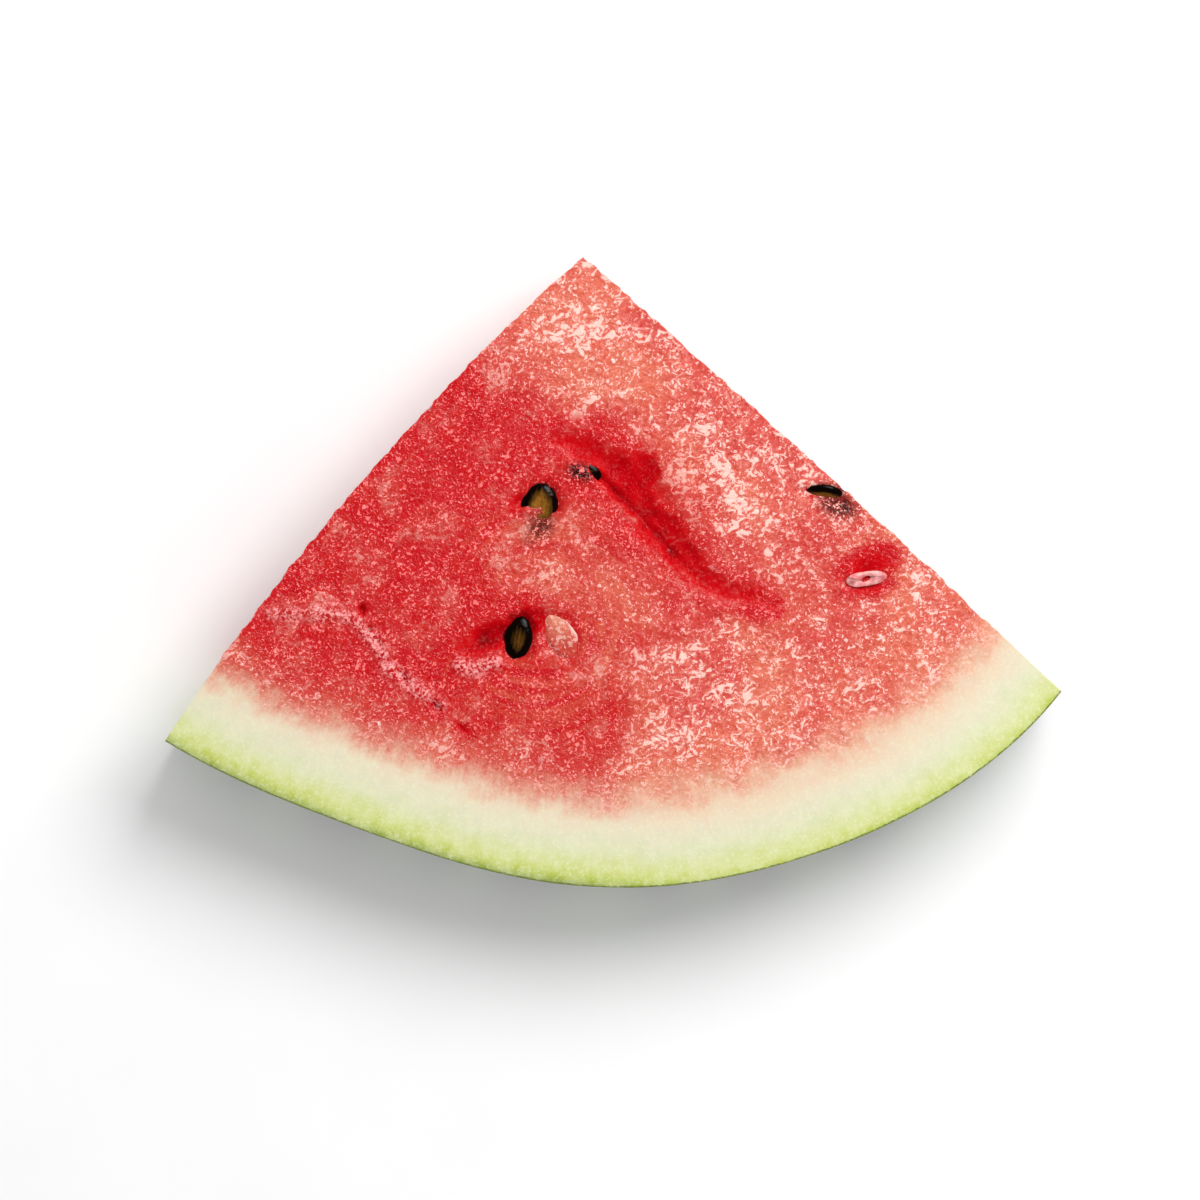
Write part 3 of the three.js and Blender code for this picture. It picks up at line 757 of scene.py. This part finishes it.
def unripe_seed_coat():
    """The soft coat of an unripe seed: cream to pink, light glows a little way into it, and it
    is wet. An opened one is flushed pink, and red with juice inside."""
    material, tree, shader = new_material(
        "unripe_seed_coat", Roughness=0.5, Specular_IOR_Level=0.0, Coat_Weight=0.6,
        Coat_Roughness=0.06, Coat_IOR=1.36, Subsurface_Weight=0.4,
        Subsurface_Radius=(1.0, 0.5, 0.4), Subsurface_Scale=0.0015)
    own = add(tree, "ShaderNodeAttribute", attribute_name="own").outputs["Vector"]
    spot = add(tree, "ShaderNodeTexCoord").outputs["Object"]

    # Mottles 1.4 mm across, paler at the point, where pulp doesn't cover it. A pale line along one
    # rim and pale patches of film are painted highlights of the wet coat.
    mottle = add(tree, "ShaderNodeTexNoise", {"Vector": spot, "Scale": 700.0, "Detail": 3.0})
    soft_pink = add(tree, "ShaderNodeMapRange", {0: mottle, 1: 0.4, 2: 0.6})
    part = add(tree, "ShaderNodeSeparateXYZ", {0: own})
    pointed = add(tree, "ShaderNodeMapRange", {0: part, 1: -0.5, 2: 1.0})
    blush = add(tree, "ShaderNodeMix", {0: pointed, 6: colour("#bc463c"), 7: colour("#d88c72")},
                data_type="RGBA")
    # Painted highlight: pale patches of wet film.
    film = add(tree, "ShaderNodeMapRange", {0: mottle, 1: 0.58, 2: 0.62, 4: 0.5})
    film_glinted = add(tree, "ShaderNodeMix", {0: film, 6: blush, 7: colour("#f4c8bc")},
                 data_type="RGBA")
    joined = add(tree, "ShaderNodeMapRange", {0: part.outputs["Y"], 1: 0.0, 2: 0.8, 4: 0.7})
    blended = add(tree, "ShaderNodeMix", {0: joined, 6: film_glinted, 7: colour("#c8443c")},
                  data_type="RGBA")
    # Painted highlight: a pale line along one rim.
    edge = add(tree, "ShaderNodeMapRange", {0: part.outputs["Y"], 1: -0.72, 2: -0.9})
    rim_highlighted = add(tree, "ShaderNodeMix", {0: edge, 6: blended, 7: colour("#f6d2c6")},
                 data_type="RGBA")
    blunt = add(tree, "ShaderNodeMapRange", {0: part, 1: -0.4, 2: -0.9, 4: 0.8})
    pulped = add(tree, "ShaderNodeMix", {0: blunt, 6: rim_highlighted, 7: colour("#c8463c")},
                 data_type="RGBA")

    # Specks of pulp 0.7 mm across, then the opened coat's pink and the red inside it.
    specks = add(tree, "ShaderNodeTexNoise", {"Vector": spot, "Scale": 1500.0, "Detail": 1.5,
                                              "Distortion": 0.8})
    speck = add(tree, "ShaderNodeMapRange", {0: specks, 1: 0.6, 2: 0.64, 4: 0.75})
    coat = add(tree, "ShaderNodeMix", {0: speck, 6: pulped, 7: colour("#f2b8ae")},
               data_type="RGBA")
    far = add(tree, "ShaderNodeVectorMath", {0: own}, operation="LENGTH").outputs["Value"]
    inside = add(tree, "ShaderNodeMapRange", {0: far, 1: 1.5, 2: 4.0})
    opened = add(tree, "ShaderNodeAttribute", attribute_name="worn").outputs["Fac"]
    flushed = add(tree, "ShaderNodeMix", {0: soft_pink, 6: colour("#dc7c7c"),
                                          7: colour("#f2b4b0")}, data_type="RGBA")
    either = add(tree, "ShaderNodeMix", {0: opened, 6: coat, 7: flushed}, data_type="RGBA")
    whole = add(tree, "ShaderNodeMix", {0: inside, 6: either, 7: colour("#b8101a")},
                data_type="RGBA")
    tree.links.new(whole.outputs[2], shader.inputs["Base Color"])
    soft = add(tree, "ShaderNodeBump", {"Height": mottle, "Strength": 0.8, "Distance": 0.0007})
    tree.links.new(soft.outputs[0], shader.inputs["Coat Normal"])
    tree.links.new(soft.outputs[0], shader.inputs["Normal"])
    return material


def white_table():
    """Matt white board, whose tone drifts a little over 25 mm."""
    material, tree, shader = new_material("white_table", Roughness=0.8, Specular_IOR_Level=0.0)
    spot = add(tree, "ShaderNodeTexCoord").outputs["Object"]
    uneven = add(tree, "ShaderNodeTexNoise", {"Vector": spot, "Scale": 40.0})
    white = add(tree, "ShaderNodeMix", {0: uneven, 6: colour("#f2f2f2"), 7: colour("#f7f7f7")},
                data_type="RGBA")
    tree.links.new(white.outputs[2], shader.inputs["Base Color"])
    return material


# Putting it together.

def finished(name, shape, materials):
    """A piece made from its shape, which rides on the slice and stands for its solid."""
    mesh = bpy.data.meshes.new(name)
    shape.to_mesh(mesh)
    shape.free()
    for material in materials:
        mesh.materials.append(material)
    piece = bpy.data.objects.new(name + "_piece", mesh)
    bpy.context.scene.collection.objects.link(piece)
    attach(piece, "root")
    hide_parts(name)
    return piece


def build_slice():
    """The slice and its seeds, each in its place and with its own material."""
    finished("wedge", carve_wedge(), [cut_melon_flesh(), waxy_melon_skin()])
    shell, coat = black_seed_shell(), unripe_seed_coat()
    for seed in SEEDS:
        shape = shape_coat(seed) if seed["look"] == HOLLOW_COAT else shape_seed(seed)
        placed = Matrix.Translation(ORIGIN) @ Matrix.Scale(MM, 4) @ seed["place"]
        bmesh.ops.transform(shape, matrix=placed, verts=shape.verts)
        for face in shape.faces:
            face.smooth = True
        black = seed["look"] == BLACK
        piece = finished(seed["name"], shape, [shell if black else coat])
        if seed["look"] != HOLLOW_COAT:
            rounding = piece.modifiers.new("rounding", "SUBSURF")
            rounding.levels = rounding.render_levels = 1


def set_table():
    """A board wide enough to lie under the slice in every view."""
    board = bmesh.new()
    bmesh.ops.create_grid(board, x_segments=8, y_segments=8, size=TABLE_HALF)
    mesh = bpy.data.meshes.new("table")
    board.to_mesh(mesh)
    board.free()
    mesh.materials.append(white_table())
    table = bpy.data.objects.new("table", mesh)
    bpy.context.scene.collection.objects.link(table)


def light_and_look():
    """One big soft light high on the right behind the slice, whose hot middle shows only as
    glints, an even fill, and a camera that looks straight down, turned a little."""
    scene = bpy.context.scene
    world = bpy.data.worlds.new("fill")
    world.use_nodes = True
    fill = world.node_tree.nodes["Background"]
    fill.inputs["Color"].default_value = (1.0, 1.0, 1.0, 1.0)
    fill.inputs["Strength"].default_value = 0.665
    scene.world = world
    world.cycles_visibility.glossy = False
    scene.view_settings.view_transform = "Standard"

    for name, size, power in (("softbox", 0.5, 5.05), ("softbox_middle", 0.28, 7.0)):
        light = bpy.data.lights.new(name, "AREA")
        light.shape = "DISK"
        light.size = size
        light.energy = power
        lamp = bpy.data.objects.new(name, light)
        lamp.location = LAMP_PLACE
        lamp.rotation_euler = (-lamp.location).to_track_quat("-Z", "Y").to_euler()
        lamp.visible_diffuse = name == "softbox"
        scene.collection.objects.link(lamp)

    view = bpy.data.cameras.new("camera")
    view.sensor_width = 36.0
    view.lens = view.sensor_width * CAMERA_ABOVE / WIDTH_IN_VIEW
    view.clip_end = 10.0
    camera = bpy.data.objects.new("camera", view)
    camera.location = (*CAMERA_OFF_CENTRE, THICKNESS * MM + CAMERA_ABOVE)
    camera.rotation_euler = (0.0, 0.0, math.radians(CAMERA_TURN))
    scene.collection.objects.link(camera)
    scene.camera = camera


build_slice()
set_table()
light_and_look()
